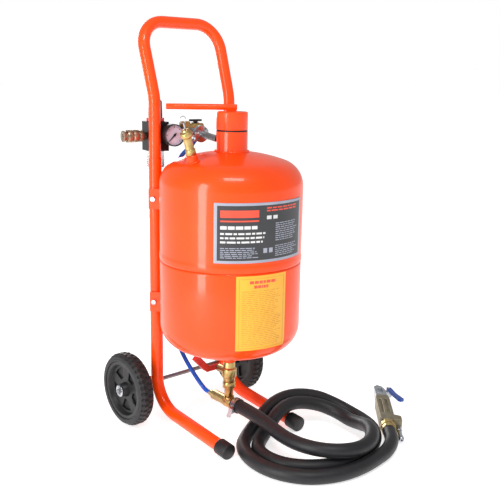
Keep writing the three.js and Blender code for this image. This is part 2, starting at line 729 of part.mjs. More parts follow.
// ---- outlet under the tank ----
function makeOutlet() {
  const outlet = new THREE.Group();
  outlet.position.set(0, tankY, 0);
  const top = outletBungBottom - gap;
  const ballRadius = 10;
  const body = stepped([
    [11, valveBottom], [12, valveBottom + 1], [12, valveBottom + 8], [15, valveBottom + 11], [15, top - 15],
    [12, top - 12], [12, top - 1], [11, top],
  ], 16);
  const bonnet = rod(8, 8, 32, 12).rotateX(-Math.PI / 2).translate(0, 0, leverStemZ);
  const cavity = new THREE.SphereGeometry(ballRadius + 2.5 * gap, 12, 8).translate(0, 0, leverStemZ);
  const bore = rod(outletBore, valveBottom - 5, top + 5, 16);
  const stemRadius = 3.2;
  const stemHole = rod(stemRadius + gap, 0, 60, 12).rotateX(-Math.PI / 2).translate(0, 0, leverStemZ);
  add('outlet_valve_body', cut(join(body, bonnet), cavity, bore, stemHole), brass, outlet);

  const leverPlane = -tankY;
  const ball = new THREE.SphereGeometry(ballRadius, 12, 8).translate(0, 0, leverStemZ);
  const stem = rod(stemRadius, 5, leverPlane + 4, 12).rotateX(-Math.PI / 2).translate(0, 0, leverStemZ);
  add('outlet_ball', cut(join(ball, stem), rod(outletBore, leverStemZ - 15, leverStemZ + 15, 16)), zinc, outlet);

  // strap and grip drawn in the X-Z plane about the stem
  const strap = plate([[8, -6], [8, 6], [-20, 6], [-50, 37], [-58, 29], [-26, -6]], 3).translate(0, 0, -1.5);
  const grip = plate([[-27, 9], [-50, 34], [-56, 34], [-61, 28], [-33, -1]], 8).translate(0, 0, -4);
  const strapHole = rod(stemRadius + gap, -10, 10, 12);
  const lever = cut(join(strap, grip), strapHole).rotateX(Math.PI / 2).translate(0, leverPlane, leverStemZ);
  add('outlet_lever', lever, { color: 0xd0392a, roughness: 0.45 }, outlet);

  const teeTop = teeZ + 12;
  const union = turned([
    [6, teeTop + gap], [9, teeTop + gap], [9, 84], [13, 86], [13, valveBottom - 2], [12, valveBottom - gap],
    [6, valveBottom - gap], [6, teeTop + gap],
  ], 12);
  add('outlet_union', union, brass, outlet);
  model.add(outlet);

  const run = stepped([
    [teeRadius, -teeBackY], [teeRadius, -tankY - 12], [teeRadius + 1.5, -tankY - 8], [teeRadius + 1.5, -tankY + 8],
    [teeRadius, -tankY + 11], [teeRadius, -teeFrontY],
  ], 16).rotateX(Math.PI / 2).translate(0, 0, teeZ);
  const barbEnd = airHoseRoute[airHoseRoute.length - 1][1] - 2 * gap;
  const barb = rod(6, -barbEnd, 0, 12).rotateX(Math.PI / 2).translate(0, 0, teeZ);
  const branch = rod(11, teeZ, teeTop, 16).translate(0, tankY, 0);
  const drop = rod(6, teeZ, teeTop + 5, 12).translate(0, tankY, 0);
  add('mixing_tee', cut(join(run, barb, branch), drop), brass);

  const clampY = -66;
  const inner = blastHoseRadius + gap;
  const band = ring(inner + 1.6, inner, -6, 6).rotateX(Math.PI / 2).translate(0, clampY, teeZ);
  const screw = rod(4.5, -12, 12, 12).rotateX(radians(25)).translate(-18, clampY, teeZ - 9);
  const bridge = block(8, 9, 10, -15, clampY, teeZ - 7);
  const bandBore = rod(inner, -20, 20, 24).rotateX(Math.PI / 2).translate(0, clampY, teeZ);
  add('hose_clamp', cut(join(band, screw, bridge), bandBore), zinc);
}

// ---- hoses ----
function smoothRoute(route, steps) {
  const curve = new THREE.CatmullRomCurve3(route.map((point) => new THREE.Vector3(...point)), false, 'centripetal');
  return curve.getSpacedPoints(steps);
}

function makeHoses() {
  add('air_hose', sweep(smoothRoute(airHoseRoute, 40), airHoseRadius, 0, 8), blueHose);
  add('blast_hose', sweep(smoothRoute(blastHoseRoute, 72), blastHoseRadius, 0, 8), rubber);
}

// ---- blast gun, +X runs away from the hose ----
function makeGun() {
  const gun = new THREE.Group();
  gun.position.set(...blastHoseRoute[blastHoseRoute.length - 1]);
  gun.rotation.z = radians(gunTurn);
  const alongX = (shape) => shape.rotateY(Math.PI / 2);
  const coupling = stepped([
    [14.5, 0.5], [15, 1], [15, 12], [13, 13], [13, 15], [15.5, 15.5], [15.5, 29],
  ], 12);
  add('hose_coupling', alongX(coupling), brass, gun);

  const bodyStart = 29.3;
  const bodyEnd = 155;
  const halfWidth = 15;
  const thickness = 27;
  const outline = [
    [bodyStart, -29], [48, -29], [54, -halfWidth], [140, -halfWidth], [bodyEnd, -12], [bodyEnd, 12],
    [140, halfWidth], [40, halfWidth], [bodyStart, 13],
  ];
  const casting = plate(outline, thickness).translate(0, 0, -thickness / 2);
  const slots = [-6, 6].map((y) => block(66, 4.5, 12, 98, y, thickness / 2 + 1));
  add('gun_body', cut(casting, ...slots), castAlloy, gun);

  const nozzleY = -21.5;
  const nozzle = stepped([
    [6.5, 0], [6.5, 16], [5, 17], [5, 40], [5.8, 41], [5.8, 52], [4, 54], [2, 54], [2, 46],
  ], 16).rotateY(-Math.PI / 2).translate(bodyStart - gap, nozzleY, -6);
  add('gun_nozzle', nozzle, zinc, gun);

  // steel yoke on the far end with the lever's pivot ear
  const headStart = bodyEnd + gap;
  const yoke = plate([
    [headStart, -11], [headStart + 30, -13], [headStart + 52, -6], [headStart + 60, 4], [headStart + 50, 12],
    [headStart, 11],
  ], 20).translate(0, 0, -10);
  const slot = block(26, 14, 30, headStart + 26, 1, 0);
  const pivotX = headStart + 34;
  const pivotY = -20;
  const ear = block(12, 16, 12, pivotX, pivotY + 2, 0);
  const pivotPin = rod(2.5, -9, 14, 12).translate(pivotX, pivotY, 0);
  add('gun_head', join(cut(yoke, slot), ear, pivotPin), zinc, gun);

  const leverZ = 6 + gap;
  const tipX = -54;
  const tipY = -19;
  const arm = plate([[6, 5], [6, -5], [-26, -13], [tipX, tipY - 7], [tipX - 3, tipY], [tipX, tipY + 5], [-26, -4]], 7);
  const leverHole = rod(2.5 + gap, -5, 20, 12);
  const lever = cut(arm, leverHole).translate(pivotX, pivotY, leverZ);
  add('gun_lever', lever, { color: 0x2a4e9b, roughness: 0.4 }, gun);
  model.add(gun);
}

makeRails();
makeHandle();
makeFootCaps();
makeBrackets();
makeAxle();
makeWheels();
makeTank();
wallFilm('data_plate', 378, 487, -13, 40, platePaint);
wallFilm('notice_label', tankBottomTangent + 1, 352, -14.5, 21.5, yellowFilm);
makeFiller();
makeSafetyValve();
makeAirTrain();
makeInletLine();
makeOutlet();
makeHoses();
makeGun();

export default model;
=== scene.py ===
import json
import math
import random

import bmesh
import bpy
import numpy as np
from mathutils import Matrix, Vector


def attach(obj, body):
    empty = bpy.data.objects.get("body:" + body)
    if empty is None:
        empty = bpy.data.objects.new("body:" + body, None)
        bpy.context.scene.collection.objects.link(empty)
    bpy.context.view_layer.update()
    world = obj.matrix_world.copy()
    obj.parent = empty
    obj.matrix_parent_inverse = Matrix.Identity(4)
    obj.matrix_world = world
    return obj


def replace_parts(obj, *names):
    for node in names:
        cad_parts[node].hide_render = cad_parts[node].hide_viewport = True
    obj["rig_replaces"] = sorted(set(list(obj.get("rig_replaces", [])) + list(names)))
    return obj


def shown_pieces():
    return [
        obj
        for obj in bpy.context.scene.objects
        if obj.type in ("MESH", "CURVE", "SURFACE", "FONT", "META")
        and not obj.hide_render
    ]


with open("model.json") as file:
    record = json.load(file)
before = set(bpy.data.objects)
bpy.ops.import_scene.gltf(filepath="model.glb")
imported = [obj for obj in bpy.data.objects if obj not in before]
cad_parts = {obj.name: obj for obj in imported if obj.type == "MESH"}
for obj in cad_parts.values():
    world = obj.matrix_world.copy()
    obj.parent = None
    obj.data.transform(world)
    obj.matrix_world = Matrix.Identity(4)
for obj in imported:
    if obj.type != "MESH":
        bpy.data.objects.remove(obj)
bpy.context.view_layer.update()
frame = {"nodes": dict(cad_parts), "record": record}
print("frame loaded")

mm = 0.001
bodyOfNode = {node: body for body, nodes in frame["record"]["behaviour"]["bodies"].items()
              for node in nodes}
slotOfNode = {part["node"]: part["material_slot"] for part in frame["record"]["subparts"]}

# camera: about 1.7 m away, a little above the tank, turned to the left front corner
camera = {"place": (-0.96286, -1.17075, 0.70964),
          "heading": 41.88, "pitch": 12.80, "roll": 1.02, "lens": 56.05}


def placeCamera():
    heading, pitch, roll = (math.radians(camera[key]) for key in ("heading", "pitch", "roll"))
    forward = Vector((math.sin(heading) * math.cos(pitch), math.cos(heading) * math.cos(pitch),
                      -math.sin(pitch)))
    level = Vector((math.cos(heading), -math.sin(heading), 0))
    upright = level.cross(forward)
    right = level * math.cos(roll) + upright * math.sin(roll)
    up = upright * math.cos(roll) - level * math.sin(roll)
    data = bpy.data.cameras.new("camera")
    data.lens = camera["lens"]
    data.sensor_width = 36
    data.clip_end = 50
    holder = bpy.data.objects.new("camera", data)
    holder.matrix_world = Matrix((
        (right.x, up.x, -forward.x, camera["place"][0]),
        (right.y, up.y, -forward.y, camera["place"][1]),
        (right.z, up.z, -forward.z, camera["place"][2]),
        (0, 0, 0, 1),
    ))
    bpy.context.scene.collection.objects.link(holder)
    bpy.context.scene.camera = holder


placeCamera()
print("camera placed")


# ---------- materials
def linearColour(text):
    channels = [int(text[i:i + 2], 16) / 255 for i in (1, 3, 5)]
    return tuple(c / 12.92 if c <= 0.04045 else ((c + 0.055) / 1.055) ** 2.4 for c in channels) + (1.0,)


def perMm(size):
    return 1 / (size * mm)


def addNode(tree, kind, settings=(), links=()):
    node = tree.nodes.new(kind)
    for key, value in dict(settings).items():
        if isinstance(key, int) or key in node.inputs:
            node.inputs[key].default_value = value
        else:
            setattr(node, key, value)
    for key, source in dict(links).items():
        tree.links.new(source, node.inputs[key])
    return node


def makeSurface(name, recipe):
    material = bpy.data.materials.new(name)
    material.use_nodes = True
    tree = material.node_tree
    shader = tree.nodes["Principled BSDF"]
    place = addNode(tree, "ShaderNodeTexCoord").outputs["Object"]
    cloud = addNode(tree, "ShaderNodeTexNoise", {"Scale": perMm(recipe["cloudMm"]), "Detail": 4.0},
                    {"Vector": place})
    spread = addNode(tree, "ShaderNodeMapRange", {"From Min": 0.3, "From Max": 0.7},
                     {"Value": cloud.outputs["Fac"]})
    tint = addNode(tree, "ShaderNodeMix",
                   {"data_type": "RGBA", 6: linearColour(recipe["colour"]), 7: linearColour(recipe["shade"])},
                   {0: spread.outputs["Result"]})
    scuff = addNode(tree, "ShaderNodeTexNoise",
                    {"Scale": perMm(recipe["scuffMm"]), "Detail": 8.0, "Roughness": 0.65},
                    {"Vector": place})
    worn = addNode(tree, "ShaderNodeMapRange", {"From Min": 0.62, "From Max": 0.74},
                   {"Value": scuff.outputs["Fac"]})
    wear = addNode(tree, "ShaderNodeMix", {"data_type": "RGBA", 7: linearColour(recipe["wear"])},
                   {0: worn.outputs["Result"], 6: tint.outputs[2]})
    tree.links.new(wear.outputs[2], shader.inputs["Base Color"])
    low, high = recipe["roughness"]
    gloss = addNode(tree, "ShaderNodeMapRange", {"To Min": low, "To Max": high},
                    {"Value": scuff.outputs["Fac"]})
    tree.links.new(gloss.outputs["Result"], shader.inputs["Roughness"])
    grain = addNode(tree, "ShaderNodeTexNoise", {"Scale": perMm(recipe["grainMm"]), "Detail": 3.0},
                    {"Vector": place})
    bump = addNode(tree, "ShaderNodeBump",
                   {"Strength": recipe["grain"], "Distance": recipe["grainMm"] * mm * 0.3},
                   {"Height": grain.outputs["Fac"]})
    tree.links.new(bump.outputs["Normal"], shader.inputs["Normal"])
    for key, value in recipe.get("sockets", {}).items():
        shader.inputs[key].default_value = value
    return material


# powder coat, baked: full orange with the slight orange peel of sprayed powder and a clear gloss
powderCoat = makeSurface("powderCoatOrange", {
    "colour": "#FF4C05", "shade": "#F64603", "wear": "#F0520F",
    "cloudMm": 90, "scuffMm": 45, "roughness": (0.3, 0.42),
    "grainMm": 2.2, "grain": 0.10, "sockets": {"Specular IOR Level": 0.2, "Coat Weight": 0.4,
                                               "Coat Roughness": 0.08}})
# polypropylene and nylon, moulded: soft black with a fine sparked grain
mouldedBlack = makeSurface("mouldedBlackNylon", {
    "colour": "#1D1D1F", "shade": "#171718", "wear": "#2C2C2D",
    "cloudMm": 30, "scuffMm": 14, "roughness": (0.36, 0.52),
    "grainMm": 1.0, "grain": 0.25, "sockets": {"Specular IOR Level": 0.4}})
# vulcanised hose cover: dull black, a little grey where it has been handled
hoseRubber = makeSurface("blackHoseCover", {
    "colour": "#212124", "shade": "#1A1A1D", "wear": "#2E2E32",
    "cloudMm": 60, "scuffMm": 22, "roughness": (0.4, 0.55),
    "grainMm": 1.4, "grain": 0.22, "sockets": {"Specular IOR Level": 0.4}})
# solid tyre rubber, moulded: dusty dark grey
tyreRubber = makeSurface("mouldedTyreRubber", {
    "colour": "#252527", "shade": "#1D1D1F", "wear": "#3A3938",
    "cloudMm": 25, "scuffMm": 12, "roughness": (0.45, 0.62),
    "grainMm": 1.2, "grain": 0.35, "sockets": {"Specular IOR Level": 0.4}})
# bright zinc, plated on turned steel: blue-white metal with faint clouding
brightZinc = makeSurface("brightZincPlate", {
    "colour": "#C4C7CC", "shade": "#A9ACB1", "wear": "#8E8C88",
    "cloudMm": 9, "scuffMm": 6, "roughness": (0.2, 0.34),
    "grainMm": 0.9, "grain": 0.12, "sockets": {"Metallic": 1.0}})
# galvanised pipe: duller and greyer than plate, with a soft spangle
galvanised = makeSurface("galvanisedPipe", {
    "colour": "#9A9FA1", "shade": "#7E8385", "wear": "#6C6B68",
    "cloudMm": 7, "scuffMm": 5, "roughness": (0.34, 0.5),
    "grainMm": 1.2, "grain": 0.2, "sockets": {"Metallic": 1.0}})
# nickel over brass, knurled and handled: warm grey metal
warmNickel = makeSurface("nickelPlatedBrass", {
    "colour": "#B9A690", "shade": "#96826C", "wear": "#7C6A55",
    "cloudMm": 8, "scuffMm": 5, "roughness": (0.26, 0.4),
    "grainMm": 1.0, "grain": 0.15, "sockets": {"Metallic": 1.0}})
# brass, cast and machined: yellow metal, browner in the cast hollows
castBrass = makeSurface("castBrass", {
    "colour": "#CBB27A", "shade": "#AE9257", "wear": "#7E683C",
    "cloudMm": 10, "scuffMm": 6, "roughness": (0.24, 0.42),
    "grainMm": 0.9, "grain": 0.28, "sockets": {"Metallic": 1.0}})
# aluminium, die cast and blasted: olive grey and matt
dieCast = makeSurface("dieCastAluminium", {
    "colour": "#9B947E", "shade": "#817A66", "wear": "#6A6454",
    "cloudMm": 14, "scuffMm": 8, "roughness": (0.42, 0.58),
    "grainMm": 0.8, "grain": 0.3, "sockets": {"Metallic": 0.75}})
# polyurethane hose, extruded: deep glossy blue
blueHose = makeSurface("bluePolyurethane", {
    "colour": "#0A62E0", "shade": "#0A56C8", "wear": "#2A74E0",
    "cloudMm": 30, "scuffMm": 12, "roughness": (0.22, 0.34),
    "grainMm": 1.0, "grain": 0.08})
# dipped vinyl grips: glossy, slightly soft
blueVinyl = makeSurface("blueDippedVinyl", {
    "colour": "#2C50A6", "shade": "#24448F", "wear": "#4A68B0",
    "cloudMm": 20, "scuffMm": 9, "roughness": (0.25, 0.4),
    "grainMm": 0.9, "grain": 0.12})
redPlastic = makeSurface("redMouldedAbs", {  # ABS, moulded: clean saturated red
    "colour": "#D4312A", "shade": "#B92720", "wear": "#D6564C",
    "cloudMm": 16, "scuffMm": 8, "roughness": (0.3, 0.42),
    "grainMm": 0.9, "grain": 0.1})
# printed vinyl films: flat colour under a satin laminate
filmGrey = makeSurface("printedFilmGrey", {
    "colour": "#38393C", "shade": "#323336", "wear": "#434447",
    "cloudMm": 40, "scuffMm": 18, "roughness": (0.34, 0.46),
    "grainMm": 1.6, "grain": 0.05})
filmSilver = makeSurface("printedFilmSilver", {
    "colour": "#A4A9B8", "shade": "#979BAA", "wear": "#8E92A0",
    "cloudMm": 30, "scuffMm": 12, "roughness": (0.32, 0.42),
    "grainMm": 1.6, "grain": 0.05})
filmWhite = makeSurface("printedFilmWhite", {
    "colour": "#DDDDDD", "shade": "#CFCFCF", "wear": "#B8B8B8",
    "cloudMm": 20, "scuffMm": 8, "roughness": (0.34, 0.46),
    "grainMm": 1.6, "grain": 0.05})
filmOrange = makeSurface("printedFilmOrange", {
    "colour": "#F0523A", "shade": "#E44A33", "wear": "#C8503C",
    "cloudMm": 20, "scuffMm": 8, "roughness": (0.34, 0.46),
    "grainMm": 1.6, "grain": 0.05})
filmYellow = makeSurface("printedFilmYellow", {
    "colour": "#F7B437", "shade": "#F3AC2E", "wear": "#E39F30",
    "cloudMm": 40, "scuffMm": 18, "roughness": (0.36, 0.48),
    "grainMm": 1.6, "grain": 0.05})
filmAmber = makeSurface("printedFilmAmber", {
    "colour": "#D2912F", "shade": "#C88728", "wear": "#B87A26",
    "cloudMm": 20, "scuffMm": 8, "roughness": (0.36, 0.48),
    "grainMm": 1.6, "grain": 0.05})
dialWhite = makeSurface("enamelledDial", {  # stove enamel on the gauge dial: pale and faintly lilac
    "colour": "#D5CEDF", "shade": "#CBC4D6", "wear": "#BDB6C8",
    "cloudMm": 12, "scuffMm": 6, "roughness": (0.4, 0.5),
    "grainMm": 0.8, "grain": 0.04})
# polycarbonate, moulded clear: the bowl and the gauge lens
clearPolycarbonate = makeSurface("clearPolycarbonate", {
    "colour": "#F2F2F0", "shade": "#EAEAE6", "wear": "#E2E2DE",
    "cloudMm": 30, "scuffMm": 12, "roughness": (0.06, 0.16),
    "grainMm": 1.0, "grain": 0.03, "sockets": {"Transmission Weight": 0.9, "IOR": 1.58}})
sinteredWhite = makeSurface("sinteredFilter", {  # sintered filter: chalky white
    "colour": "#E6E1D6", "shade": "#D6D0C3", "wear": "#C3BBAA",
    "cloudMm": 8, "scuffMm": 4, "roughness": (0.7, 0.85),
    "grainMm": 0.8, "grain": 0.5})
print("materials made")

surfaceOfSlot = {
    "powder_coat": powderCoat, "black_plastic": mouldedBlack, "black_rubber": hoseRubber,
    "tyre_rubber": tyreRubber,
    "zinc_plate": brightZinc, "brass": castBrass, "dark_film": filmGrey, "yellow_film": filmYellow,
    "clear_plastic": clearPolycarbonate, "red_plastic": redPlastic, "blue_hose": blueHose,
    "cast_alloy": dieCast,
    "blue_grip": blueVinyl}


# ---------- mesh tools
def finishPiece(name, mesh, material, body, nodes=(), sharpDegrees=38):
    piece = bpy.data.objects.new(name, mesh)
    bpy.context.scene.collection.objects.link(piece)
    if material is not None:
        mesh.materials.append(material)
    mesh.shade_smooth()
    mesh.set_sharp_from_angle(angle=math.radians(sharpDegrees))
    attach(piece, body)
    if nodes:
        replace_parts(piece, *nodes)
    return piece


def meshOf(name, points, faces):
    mesh = bpy.data.meshes.new(name)
    mesh.from_pydata([tuple(p) for p in points], [], faces)
    mesh.validate()
    mesh.update()
    shape = bmesh.new()
    shape.from_mesh(mesh)
    bmesh.ops.remove_doubles(shape, verts=shape.verts, dist=1e-7)
    bmesh.ops.recalc_face_normals(shape, faces=shape.faces)
    shape.to_mesh(mesh)
    shape.free()
    return mesh


def turnedMesh(name, profile, place=None, count=64, wave=None):
    # profile of (radius, height) in mm that closes on itself or runs from axis to axis
    place = place or Matrix.Identity(4)
    points, faces = [], []
    rows = len(profile)
    for i in range(count):
        angle = 2 * math.pi * i / count
        for j, (radius, height) in enumerate(profile):
            r = radius + (wave(angle, j) if wave else 0)
            points.append(place @ Vector((r * math.cos(angle) * mm, r * math.sin(angle) * mm,
                                          height * mm)))
    for i in range(count):
        k = (i + 1) % count
        for j in range(rows - 1):
            faces.append((i * rows + j, k * rows + j, k * rows + j + 1, i * rows + j + 1))
    return meshOf(name, points, faces)


def aimed(start, direction):
    turn = Vector(direction).to_track_quat("Z", "Y").to_matrix().to_4x4()
    return Matrix.Translation(Vector(start)) @ turn


def smoothLine(route, spacing):
    # centripetal curve through the points, in even steps
    p = np.array(route, float)
    p = np.vstack([2 * p[0] - p[1], p, 2 * p[-1] - p[-2]])
    dense = []
    for i in range(1, len(p) - 2):
        a, b, c, d = p[i - 1], p[i], p[i + 1], p[i + 2]
        u, v, w = (max(np.linalg.norm(y - x) ** 0.5, 1e-6) for x, y in ((a, b), (b, c), (c, d)))
        m1 = ((b - a) / u - (c - a) / (u + v) + (c - b) / v) * v
        m2 = ((c - b) / v - (d - b) / (v + w) + (d - c) / w) * v
        for t in np.linspace(0, 1, 24, endpoint=False):
            h = (2 * t**3 - 3 * t**2 + 1, t**3 - 2 * t**2 + t, -2 * t**3 + 3 * t**2, t**3 - t**2)
            dense.append(h[0] * b + h[1] * m1 + h[2] * c + h[3] * m2)
    dense.append(p[-2])
    dense = np.array(dense)
    along = np.concatenate([[0], np.cumsum(np.linalg.norm(np.diff(dense, axis=0), axis=1))])
    steps = max(2, int(round(along[-1] / spacing)))
    even = np.linspace(0, along[-1], steps + 1)
    return np.stack([np.interp(even, along, dense[:, k]) for k in range(3)], 1)


def tubeMesh(name, line, outer, inner=0.0, sides=24):
    # round tube along a line of points in metres, hollow when inner is more than zero
    line = [Vector(p) for p in line]
    tangents = []
    for i in range(len(line)):
        before = (line[i] - line[i - 1]).normalized() if i else Vector()
        after = (line[i + 1] - line[i]).normalized() if i < len(line) - 1 else Vector()
        tangents.append((before + after).normalized())
    side = tangents[0].orthogonal().normalized()
    rings = []
    for i, tangent in enumerate(tangents):
        if i:
            side = tangents[i - 1].rotation_difference(tangent) @ side
        side = (side - tangent * side.dot(tangent)).normalized()
        across = tangent.cross(side)
        rings.append((line[i], side.copy(), across))
    points, faces = [], []
    skins = [outer, inner] if inner else [outer]
    for radius in skins:
        for centre, side, across in rings:
            for k in range(sides):
                angle = 2 * math.pi * k / sides
                points.append(centre + (side * math.cos(angle) + across * math.sin(angle)) * radius)
    total = len(rings) * sides
    for layer in range(len(skins)):
        base = layer * total
        for i in range(len(rings) - 1):
            for k in range(sides):
                n = (k + 1) % sides
                faces.append((base + i * sides + k, base + i * sides + n, base + (i + 1) * sides + n,
                              base + (i + 1) * sides + k))
    last = (len(rings) - 1) * sides
    for start in (0, last):
        if inner:
            for k in range(sides):
                n = (k + 1) % sides
                faces.append((start + k, start + n, total + start + n, total + start + k))
        else:
            faces.append(tuple(start + k for k in range(sides)))
    return meshOf(name, points, faces)


def filletLine(corners, steps=12):
    # each corner is (point, bend radius), straight runs joined by arcs, all in mm
    line = []
    for i, (point, radius) in enumerate(corners):
        here = Vector(point)
        if not radius:
            line.append(here * mm)
            continue
        back = (Vector(corners[i - 1][0]) - here).normalized()
        ahead = (Vector(corners[i + 1][0]) - here).normalized()
        half = back.angle(ahead) / 2
        centre = here + (back + ahead).normalized() * (radius / math.sin(half))
        spoke = here + back * (radius / math.tan(half)) - centre
        axis = back.cross(ahead).normalized()
        for k in range(steps + 1):
            turn = Matrix.Rotation(-(math.pi - 2 * half) * k / steps, 3, axis)
            line.append((turn @ spoke + centre) * mm)
    return line


def refined(node, material=None, bevelMm=0.4, name=None):
    # the CAD piece again with its sharp edges broken, as a tumbled or moulded part has
    mesh = bpy.data.meshes.new(name or node)
    shape = bmesh.new()
    shape.from_mesh(frame["nodes"][node].data)
    bmesh.ops.remove_doubles(shape, verts=shape.verts, dist=1e-6)
    shape.to_mesh(mesh)
    shape.free()
    slot = slotOfNode[node]
    piece = finishPiece((name or node) + ".shown", mesh, material or surfaceOfSlot[slot],
                        bodyOfNode[node], [node], 32)
    edge = piece.modifiers.new("brokenEdge", "BEVEL")
    edge.width = bevelMm * mm
    edge.segments = 2
    edge.limit_method = "ANGLE"
    edge.angle_limit = math.radians(32)
    edge.harden_normals = True
    return piece


def weldBead(name, place, radius, size, body="frame"):
    # ring of weld with its ripples, painted over
    points, faces = [], []
    around, section = int(radius * 4.2), 8
    for i in range(around):
        angle = 2 * math.pi * i / around
        swell = size * (1 + 0.16 * math.sin(i * 2.1))
        for j in range(section):
            turn = 2 * math.pi * j / section
            r = radius + swell * math.cos(turn)
            points.append(place @ Vector((r * math.cos(angle) * mm, r * math.sin(angle) * mm,
                                          swell * math.sin(turn) * mm)))
    for i in range(around):
        for j in range(section):
            a, b = (i + 1) % around, (j + 1) % section
            faces.append((i * section + j, a * section + j, a * section + b, i * section + b))
    return finishPiece(name, meshOf(name, points, faces), powderCoat, body, (), 60)


# ---------- blast hose, lying on the floor in its loops
blastHose = {"radius": 13.5, "route": [
    (0, -56, 54), (0, -84, 54), (-1, -113, 53), (-3, -144, 51), (-6, -178, 47), (-9, -211, 44),
    (-8, -244, 43),
    (0, -275, 43), (16, -302, 43), (41, -321, 42), (72, -330, 41), (104, -326, 42), (132, -308, 44),
    (153, -281, 41),
    (168, -250, 31), (175, -215, 25), (173, -181, 30), (157, -152, 39), (128, -132, 47), (95, -125, 51),
    (63, -126, 46), (34, -132, 33), (5, -143, 20), (-22, -157, 14), (-43, -181, 14), (-50, -213, 14),
    (-44, -246, 14),
    (-24, -276, 14), (6, -299, 14), (39, -312, 14), (73, -316, 14), (107, -313, 14), (141, -303, 14),
    (172, -284, 14),
    (198, -256, 14), (213, -221, 14), (213, -184, 19), (199, -151, 31), (173, -125, 45), (141, -106, 52),
    (106, -96, 53), (71, -95, 47), (38, -100, 34), (6, -109, 21), (-25, -123, 14), (-51, -144, 14),
    (-69, -173, 14),
    (-78, -208, 14), (-77, -244, 14), (-65, -279, 14), (-43, -309, 14), (-10, -331, 14), (27, -343, 14),
    (65, -346, 14), (104, -343, 14), (143, -336, 14), (180, -319, 15.7), (210, -290, 16),
    (218.5, -281.5, 16)]}  # the last 12 mm are inside the coupling
hoseLine = smoothLine([[v * mm for v in p] for p in blastHose["route"]], 0.005)
hosePiece = finishPiece("blastHose", tubeMesh("blastHose", hoseLine, blastHose["radius"] * mm, 0, 28),
                        hoseRubber, "frame",
                        ["blast_hose"])

airHose = {"radius": 4.5, "route": [
    (-15, 57, 577), (-17.1, 61.1, 570.4), (-19, 69, 562), (-19.5, 80, 555), (-20, 92, 545),
    (-21, 102, 528),
    (-21, 105, 500), (-21, 105.5, 440), (-21, 105.5, 364), (-21, 105.5, 290), (-21, 105, 220),
    (-21, 105, 165),
    (-20, 101, 140), (-16, 89, 116), (-10, 70, 90), (-4, 53, 69), (-1, 43, 59), (0, 34, 54.4),
    (0, 28, 54), (0, 21, 54)]}
airLine = smoothLine([[v * mm for v in p] for p in airHose["route"]], 0.004)
finishPiece("airHose", tubeMesh("airHose", airLine, airHose["radius"] * mm, 0, 20), blueHose, "frame",
            ["air_hose"])
print("air hose laid")

# ---------- frame tubes
frameTube = {"radius": 12.5, "wall": 1.5, "halfSpan": 93, "backY": 80, "top": 546, "heelBend": 68,
             "slope": 5,
             "capFrontY": -153, "capRadius": 15.5, "capLength": 29}
hanger = {"thickness": 5, "half": 14, "y": 104.1, "z": 75}


def footHeight(y):
    drop = math.tan(math.radians(frameTube["slope"]))
    return 15.5 + (y - frameTube["capFrontY"]) * drop


def roundedPlate(name, outline, thickness, place):
    # flat bar cut to an outline in its own XY plane, mm
    count = len(outline)
    points = [place @ Vector((x * mm, y * mm, z * mm)) for z in (0, thickness) for x, y in outline]
    faces = [tuple(range(count)), tuple(range(count, 2 * count))]
    faces += [(i, (i + 1) % count, count + (i + 1) % count, count + i) for i in range(count)]
    return meshOf(name, points, faces)


def bevelled(piece, bevelMm, segments=2):
    edge = piece.modifiers.new("brokenEdge", "BEVEL")
    edge.width = bevelMm * mm
    edge.segments = segments
    edge.limit_method = "ANGLE"
    edge.angle_limit = math.radians(35)
    edge.harden_normals = True
    return piece


def makeRail(name, side):
    x = side * frameTube["halfSpan"]
    y = frameTube["backY"]
    toe = frameTube["capFrontY"] + 3.5
    line = filletLine([((x, y, frameTube["top"]), 0), ((x, y, footHeight(y)), frameTube["heelBend"]),
                       ((x, toe, footHeight(toe)), 0)], 20)
    radius = frameTube["radius"] * mm
    tube = tubeMesh(f"rail{name}", line, radius, radius - frameTube["wall"] * mm, 32)
    finishPiece(f"railTube{name}", tube, powderCoat, "frame", [f"rail_{name.lower()}"])
    half = hanger["half"]
    arc = [(hanger["y"] - 2 + half * math.sin(t), -half * math.cos(t))
           for t in np.linspace(0, math.pi, 15)]
    outline = [(78, -half)] + arc + [(84, half)]
    place = Matrix(((0, 0, 1, (x - 2.5) * mm), (1, 0, 0, 0), (0, 1, 0, hanger["z"] * mm), (0, 0, 0, 1)))
    plate = finishPiece(f"axleHanger{name}",
                        roundedPlate(f"axleHanger{name}", outline, hanger["thickness"], place),
                        powderCoat, "frame")
    bevelled(plate, 0.7)
    cap = frameTube["capRadius"]
    length = frameTube["capLength"]
    profile = [(0, 0), (cap - 2.2, 0), (cap - 0.8, 0.5), (cap, 2), (cap, length - 5),
               (cap - 0.5, length - 4.4),
               (cap - 0.5, length - 2.6), (cap, length - 2), (cap - 0.4, length - 0.6),
               (cap - 1.2, length),
               (frameTube["radius"] + 0.3, length), (frameTube["radius"] + 0.3, 3.2), (0, 3.2)]
    slope = math.radians(frameTube["slope"])
    place = aimed((x * mm, frameTube["capFrontY"] * mm, 15.5 * mm), (0, math.cos(slope), math.sin(slope)))
    finishPiece(f"footCap{name}", turnedMesh(f"footCap{name}", profile, place, 40), mouldedBlack,
                "frame",
                [f"foot_cap_{name.lower()}"])


handle = {"radius": 11.5, "kinkZ": 660, "topY": 125.6, "topZ": 804, "topHalf": 95, "kinkBend": 90,
          "cornerBend": 52,
          "wall": 1.7, "spigotRadius": 10.7, "spigotBore": 9.2, "spigotFoot": 500}


